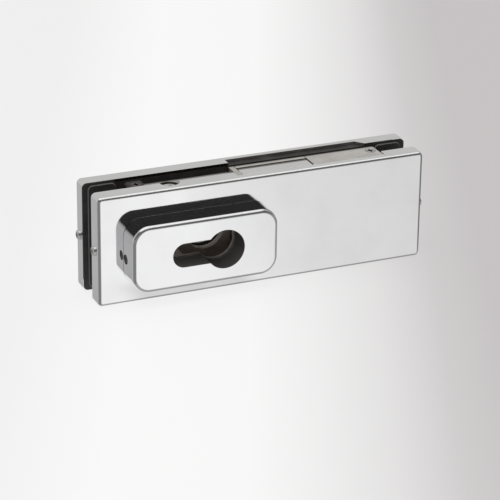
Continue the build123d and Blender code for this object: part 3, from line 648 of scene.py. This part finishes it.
# %% Rubber
TEXTURE_DEPTH = 0.02 * MM
black_rubber, shader = finish("black_rubber")
bloom = shader.band(shader.noise(220, 4.0), 0.35, 0.8)
matt_black = shader.mix(bloom, colour(0.030, 0.030, 0.030), colour(0.048, 0.047, 0.044))
surface = shader.add("BsdfPrincipled", None, {
    # The bevel's paler colour is a painted highlight.
    "Base Color": shader.mix(bend_of(shader), matt_black, colour(0.12, 0.12, 0.115)),
    "Roughness": 0.62 + 0.14 * bloom,
    "Normal": shader.bump(shader.noise(3000, 2.0), TEXTURE_DEPTH),
})
shader.close(surface)
print("finish:", black_rubber.name)

# %% [markdown]
# The plunger that brakes the bolt is natural nylon, milky and waxy, and its spring is drawn
# wire. Both sit inside, but they show when the lock is opened.

# %% Nylon and spring wire
WAX_DEPTH = 0.004 * MM
nylon, shader = finish("nylon")
milk = shader.noise(500, 2.0)
surface = shader.add("BsdfPrincipled", None, {
    "Base Color": shader.mix(milk, colour(0.80, 0.78, 0.72), colour(0.86, 0.85, 0.80)),
    "Roughness": 0.38 + 0.12 * milk,
    "Normal": shader.bump(shader.noise(2500, 2.0), WAX_DEPTH),
})
shader.close(surface)

spring_steel, shader = finish("spring_steel")
drawn = shader.noise(2500, 2.0)
surface = shader.add("BsdfPrincipled", None, {
    "Metallic": 1.0,
    "Base Color": shader.mix(drawn, colour(0.44, 0.44, 0.46), colour(0.56, 0.55, 0.54)),
    "Roughness": 0.28 + 0.12 * drawn,
})
shader.close(surface)
print("finishes:", nylon.name, spring_steel.name)

# %% [markdown]
# Every CAD piece comes in with a bare material named after its finish in the record, so the
# finishes made above go on by name, and no piece is moved or changed.

# %% Dress the CAD pieces
for name, node in frame["nodes"].items():
    for holder in node.material_slots:
        holder.material = FINISHES[holder.material.name.removeprefix(BARE)]
    print(name, "->", node.material_slots[0].material.name)

# %% [markdown]
# The CAD screws are bare: a sharp rim, a plain recess and a smooth shank. A real screw has a
# rounded rim, a recess whose walls lean in, and a thread. It could be cut with booleans, but
# those leave long thin faces. Here the side is a profile spun round the axis, in millimetres and
# with the top of the head at zero. It stays open at the top, where the recess is set in next.
# A screw with a head names the radii of that opening, of its head and of its shank, then the
# heights of its seat, of the end of its plain shank and of the start of its thread.

# %% A screw's side
TURN_STEPS = 48
RIM_STEPS = 5
NEAR = 0.001
SHARP = radians(30)


def ring_edges(mesh, radius, height):
    """The edges of the ring that lies at this radius and height."""
    def on_ring(vert):
        return abs(vert.co.xy.length - radius) < NEAR and abs(vert.co.z - height) < NEAR
    return [edge for edge in mesh.edges if all(on_ring(vert) for vert in edge.verts)]


def turned(points, rim):
    """A mesh spun from (radius, height) points; the second one, the head's rim, is rounded by rim."""
    mesh = bmesh.new()
    mesh.verts.layers.float.new("dirt")
    corners = [mesh.verts.new((radius, 0, height)) for radius, height in points]
    edges = [mesh.edges.new(pair) for pair in zip(corners, corners[1:])]
    bmesh.ops.spin(mesh, geom=corners + edges, cent=(0, 0, 0), axis=(0, 0, 1),
                   angle=2 * pi, steps=TURN_STEPS, use_merge=True)
    bmesh.ops.remove_doubles(mesh, verts=mesh.verts, dist=0.0001)
    bmesh.ops.bevel(mesh, geom=ring_edges(mesh, *points[1]), offset=rim, affect="EDGES",
                    segments=RIM_STEPS, profile=0.5, material=-1)
    return mesh


print("faces round a screw:", TURN_STEPS)

# %% [markdown]
# The recess starts as a flat outline in the middle of the open top: a cross with rounded ends or
# a hexagon. The ring between outline and rim is filled, and then the outline is extruded down
# and shrunk, which gives the leaning walls. Its lowest points get the attribute for the painted
# shade.

# %% A screw's recess
TIP_ROUND = 0.4
LEAN_IN = 0.55


def cross(mesh, span, width):
    """Faces of a cross with rounded ends, made from a grid of nine faces without its corners."""
    grid = bmesh.ops.create_grid(mesh, x_segments=3, y_segments=3, size=span / 2)["verts"]
    for vert in grid:
        for axis in (0, 1):
            if abs(vert.co[axis]) < span / 4:
                vert.co[axis] *= width / 2 / abs(vert.co[axis])
    faces = {face for vert in grid for face in vert.link_faces}
    spare = [face for face in faces if min(map(abs, face.calc_center_median().xy)) > width / 4]
    bmesh.ops.delete(mesh, geom=spare, context="FACES")
    faces = [face for face in faces if face.is_valid]
    tips = {vert for face in faces for vert in face.verts if max(map(abs, vert.co.xy)) > span / 2.1}
    bmesh.ops.bevel(mesh, geom=list(tips), offset=TIP_ROUND * width, affect="VERTICES",
                    segments=3, profile=0.5, material=-1)
    return [face for face in faces if face.is_valid]


def hexagon(mesh, span):
    """Face of a hexagon with this distance between its corners."""
    ring = bmesh.ops.create_circle(mesh, cap_ends=True, segments=6, radius=span / 2)["verts"]
    return list({face for vert in ring for face in vert.link_faces})


def points_of(items):
    """The vertices among the vertices, edges and faces that an operator gives back."""
    return [item for item in items if isinstance(item, bmesh.types.BMVert)]


def sink_recess(mesh, outline, sizes, depth, shrink=LEAN_IN):
    """Close the top of a turned side with a recess of this outline."""
    rim = [edge for edge in mesh.edges if edge.is_boundary]
    recess = outline(mesh, *sizes)
    edge_line = [edge for edge in {edge for face in recess for edge in face.edges} if edge.is_boundary]
    bmesh.ops.triangle_fill(mesh, edges=rim + edge_line, use_beauty=True)
    floor = points_of(bmesh.ops.extrude_face_region(mesh, geom=recess)["geom"])
    bmesh.ops.scale(mesh, verts=floor, vec=(shrink, shrink, 1))
    bmesh.ops.translate(mesh, verts=floor, vec=(0, 0, -depth))
    for vert in floor:
        vert[mesh.verts.layers.float["dirt"]] = 1.0


print("recess outlines:", cross.__name__, hexagon.__name__)

# %% [markdown]
# The thread is a ridge that winds round the core. The same spin makes it: a small triangle goes
# round and climbs a little at every step. The core inside it is thinner than the full screw.

# %% A screw's thread
THREAD_SHARE = 0.55
THREAD_HALF, THREAD_ROOT = 0.42, 0.1
THREAD_STEPS = 18


def core(radius, pitch):
    """Radius of the core under a thread."""
    return radius - THREAD_SHARE * pitch


def wind_thread(mesh, radius, pitch, top, bottom):
    """Ridge of a thread between two heights."""
    root = core(radius, pitch) - THREAD_ROOT * pitch
    start = bottom + pitch / 2
    climb = top - pitch / 2 - start
    steps = round(climb / pitch * THREAD_STEPS)
    half = THREAD_HALF * pitch
    ridge = [(root, 0, start - half), (radius, 0, start), (root, 0, start + half)]
    corners = [mesh.verts.new(point) for point in ridge]
    edges = [mesh.edges.new((corners[index - 1], corners[index])) for index in range(3)]
    wound = bmesh.ops.spin(mesh, geom=corners + edges, cent=(0, 0, 0), axis=(0, 0, 1),
                           dvec=(0, 0, climb / steps), angle=2 * pi * climb / pitch, steps=steps)
    mesh.faces.new(corners)
    mesh.faces.new(points_of(wound["geom_last"]))


print("thread depth as a share of its pitch:", THREAD_SHARE)

# %% [markdown]
# One screw is copied to all the places of its CAD node, turned so that it faces outwards, and
# brought to metres there. The object itself stays at the origin, as a CAD node's does. Faces are
# smooth, and edges that turn more than 30 degrees stay sharp. The piece then stands for the CAD
# node, rides on the same body and takes the same finish.

# %% Screws in their places
NO_PAINTED_SHADE = (0.0, 0.0, 0.0, 0.0)


def fit_screws(node, slot, mesh, places, least_painted_shade=NO_PAINTED_SHADE):
    """Piece for a CAD node of screws, from one screw; the last argument is the least painted shade on
    each of them.

    A place is a point in metres and the direction in which the head faces.
    """
    pattern = mesh.verts[:] + mesh.edges[:] + mesh.faces[:]
    dirt = mesh.verts.layers.float["dirt"]
    for (point, outward), least in zip(places, least_painted_shade):
        copy = points_of(bmesh.ops.duplicate(mesh, geom=pattern)["geom"])
        turn = Vector(outward).to_track_quat("Z", "Y").to_matrix().to_4x4()
        matrix = Matrix.Translation(point) @ turn @ Matrix.Scale(MM, 4)
        bmesh.ops.transform(mesh, matrix=matrix, verts=copy)
        for vert in copy:
            vert[dirt] = max(vert[dirt], least)
    bmesh.ops.delete(mesh, geom=points_of(pattern), context="VERTS")
    bmesh.ops.recalc_face_normals(mesh, faces=mesh.faces)
    for face in mesh.faces:
        face.smooth = True
    for edge in mesh.edges:
        edge.smooth = len(edge.link_faces) == 2 and edge.calc_face_angle() < SHARP
    piece = bpy.data.objects.new("turned_" + node, bpy.data.meshes.new("turned_" + node))
    mesh.to_mesh(piece.data)
    mesh.free()
    piece.data.materials.append(FINISHES[slot])
    bpy.context.scene.collection.objects.link(piece)
    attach(piece, "patch")
    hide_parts(node)
    print(piece.name, "places", len(places), "faces", len(piece.data.polygons))


# %% [markdown]
# Two small countersunk screws hold the lock case. They are painted darker, the left one most, and
# so is the gap round their rims: painted shade. Their places come from the box of their CAD
# node.

# %% Edge screws
EDGE_TOP, EDGE_HEAD, EDGE_SHANK = 2.05, 2.5, 1.5
EDGE_SEAT, EDGE_PLAIN, EDGE_THREAD, EDGE_TIP = -1.0, -9.0, -9.3, -17.0
EDGE_PITCH, EDGE_RIM, PAINTED_SHADE_RIM = 0.5, 0.12, 0.2
EDGE_CROSS, EDGE_DEPTH = (3.4, 0.95), 1.1
EDGE_PAINTED_SHADE = (0.6, 0.15)
side = [(EDGE_TOP, 0.0), (EDGE_HEAD, 0.0), (EDGE_SHANK, EDGE_SEAT), (EDGE_SHANK, EDGE_PLAIN)]
thin = core(EDGE_SHANK, EDGE_PITCH)
side += [(thin, EDGE_THREAD), (thin, EDGE_TIP), (0.0, EDGE_TIP)]
screw = turned(side, EDGE_RIM)
sink_recess(screw, cross, EDGE_CROSS, EDGE_DEPTH)
wind_thread(screw, EDGE_SHANK, EDGE_PITCH, EDGE_THREAD, EDGE_TIP)
# The rim of the head takes the painted shade of the gap round it.
for vert in screw.verts:
    if vert.co.xy.length > EDGE_HEAD - PAINTED_SHADE_RIM:
        vert[screw.verts.layers.float["dirt"]] = 1.0
low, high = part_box("edge_screws")
middle = (low.y + high.y) / 2
ends = (low.x + EDGE_HEAD * MM, high.x - EDGE_HEAD * MM)
places = [((x, middle, high.z), (0, 0, 1)) for x in ends]
fit_screws("edge_screws", "screw_steel", screw, places, EDGE_PAINTED_SHADE)

# %% [markdown]
# The fixing screw pins the cylinder. Its large low head is rounded all round, and the light runs
# along its rear rim as a bright crescent. The cross sits at 45 degrees to the patch.

# %% Cylinder fixing screw
FIXING_TOP, FIXING_HEAD, FIXING_SHANK = 2.7, 4.5, 2.5
FIXING_SEAT, FIXING_PLAIN, FIXING_THREAD = -2.6, -6.0, -6.4
FIXING_PITCH, FIXING_RIM = 0.8, 1.1
FIXING_CROSS, FIXING_DEPTH = (3.9, 1.1), 1.5
FIXING_TURN = Matrix.Rotation(radians(45), 3, "Z")
low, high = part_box("cylinder_fixing_screw")
tip = (low.z - high.z) / MM
side = [(FIXING_TOP, 0.0), (FIXING_HEAD, 0.0), (FIXING_HEAD, FIXING_SEAT)]
side += [(FIXING_SHANK, FIXING_SEAT), (FIXING_SHANK, FIXING_PLAIN)]
thin = core(FIXING_SHANK, FIXING_PITCH)
side += [(thin, FIXING_THREAD), (thin, tip), (0.0, tip)]
screw = turned(side, FIXING_RIM)
sink_recess(screw, cross, FIXING_CROSS, FIXING_DEPTH)
wind_thread(screw, FIXING_SHANK, FIXING_PITCH, FIXING_THREAD, tip)
bmesh.ops.rotate(screw, verts=screw.verts, cent=(0, 0, 0), matrix=FIXING_TURN)
place = ((low.x + high.x) / 2, (low.y + high.y) / 2, high.z)
fit_screws("cylinder_fixing_screw", "screw_steel", screw, [(place, (0, 0, 1))])

# %% [markdown]
# Each cover is held by a pan-headed screw in either end. The head is a low dome, so its rim gets
# a large round.

# %% Cover end screws
PAN_TOP, PAN_HEAD, PAN_SHANK = 1.42, 2.3, 1.25
PAN_SEAT, PAN_PLAIN, PAN_THREAD, PAN_TIP = -1.3, -2.6, -2.8, -8.3
PAN_PITCH, PAN_RIM = 0.45, 0.86
PAN_CROSS, PAN_DEPTH = (2.5, 0.62), 0.8
# The pan heads are painted a little darker all over: painted shade.
PAN_PAINTED_SHADE = (0.1, 0.1)


def ends_of(node):
    """Both ends of a node's box along the patch, each with the direction that faces out."""
    low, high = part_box(node)
    middle = (low + high) / 2
    return [((low.x, middle.y, middle.z), (-1, 0, 0)), ((high.x, middle.y, middle.z), (1, 0, 0))]


for node in ("front_cover_end_screws", "rear_cover_end_screws"):
    thin = core(PAN_SHANK, PAN_PITCH)
    side = [(PAN_TOP, 0.0), (PAN_HEAD, 0.0), (PAN_HEAD, PAN_SEAT), (PAN_SHANK, PAN_SEAT)]
    side += [(PAN_SHANK, PAN_PLAIN), (thin, PAN_THREAD), (thin, PAN_TIP), (0.0, PAN_TIP)]
    screw = turned(side, PAN_RIM)
    sink_recess(screw, cross, PAN_CROSS, PAN_DEPTH)
    wind_thread(screw, PAN_SHANK, PAN_PITCH, PAN_THREAD, PAN_TIP)
    fit_screws(node, "screw_steel", screw, ends_of(node), PAN_PAINTED_SHADE)

# %% [markdown]
# The grub screws have no head: a short thread with a hexagon socket in its end. They stay in the
# black oxide of the CAD finish.

# %% Grub screws
GRUB_TOP, GRUB_RADIUS = 1.7, 2.3
GRUB_THREAD, GRUB_TIP = -0.05, -2.25
GRUB_PITCH, GRUB_RIM, GRUB_CHAMFER = 0.5, 0.15, 0.2
GRUB_SOCKET, GRUB_DEPTH = 2.5, 1.5
for node in ("front_escutcheon_grub_screws", "rear_escutcheon_grub_screws"):
    thin = core(GRUB_RADIUS, GRUB_PITCH)
    side = [(GRUB_TOP, 0.0), (thin, 0.0), (thin, GRUB_TIP + GRUB_CHAMFER)]
    side += [(thin - GRUB_CHAMFER, GRUB_TIP), (0.0, GRUB_TIP)]
    screw = turned(side, GRUB_RIM)
    sink_recess(screw, hexagon, [GRUB_SOCKET], GRUB_DEPTH, shrink=0.96)
    wind_thread(screw, GRUB_RADIUS, GRUB_PITCH, GRUB_THREAD, GRUB_TIP)
    fit_screws(node, "black_steel", screw, ends_of(node))

# %% [markdown]
# Four socket screws squeeze the glass between the two plates. They show only when the rear cover
# is off, but they are the strongest screws of the lock, so they get their thread as well.

# %% Clamp screws
CLAMP_TOP, CLAMP_HEAD, CLAMP_SHANK = 3.3, 4.25, 2.5
CLAMP_SEAT, CLAMP_PLAIN, CLAMP_THREAD = -3.2, -9.0, -9.4
CLAMP_PITCH, CLAMP_RIM, CLAMP_CHAMFER = 0.8, 0.35, 0.4
CLAMP_SOCKET, CLAMP_DEPTH = 4.0, 2.0
low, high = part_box("clamp_screws")
tip = (low.y - high.y) / MM
side = [(CLAMP_TOP, 0.0), (CLAMP_HEAD, 0.0), (CLAMP_HEAD, CLAMP_SEAT)]
side += [(CLAMP_SHANK, CLAMP_SEAT), (CLAMP_SHANK, CLAMP_PLAIN)]
thin = core(CLAMP_SHANK, CLAMP_PITCH)
side += [(thin, CLAMP_THREAD), (thin, tip + CLAMP_CHAMFER), (thin - CLAMP_CHAMFER, tip), (0.0, tip)]
screw = turned(side, CLAMP_RIM)
sink_recess(screw, hexagon, [CLAMP_SOCKET], CLAMP_DEPTH, shrink=0.97)
wind_thread(screw, CLAMP_SHANK, CLAMP_PITCH, CLAMP_THREAD, tip + CLAMP_CHAMFER)
reach = CLAMP_HEAD * MM
corners = [(x, z) for x in (low.x + reach, high.x - reach) for z in (low.z + reach, high.z - reach)]
places = [((x, high.y, z), (0, 1, 0)) for x, z in corners]
fit_screws("clamp_screws", "black_steel", screw, places)
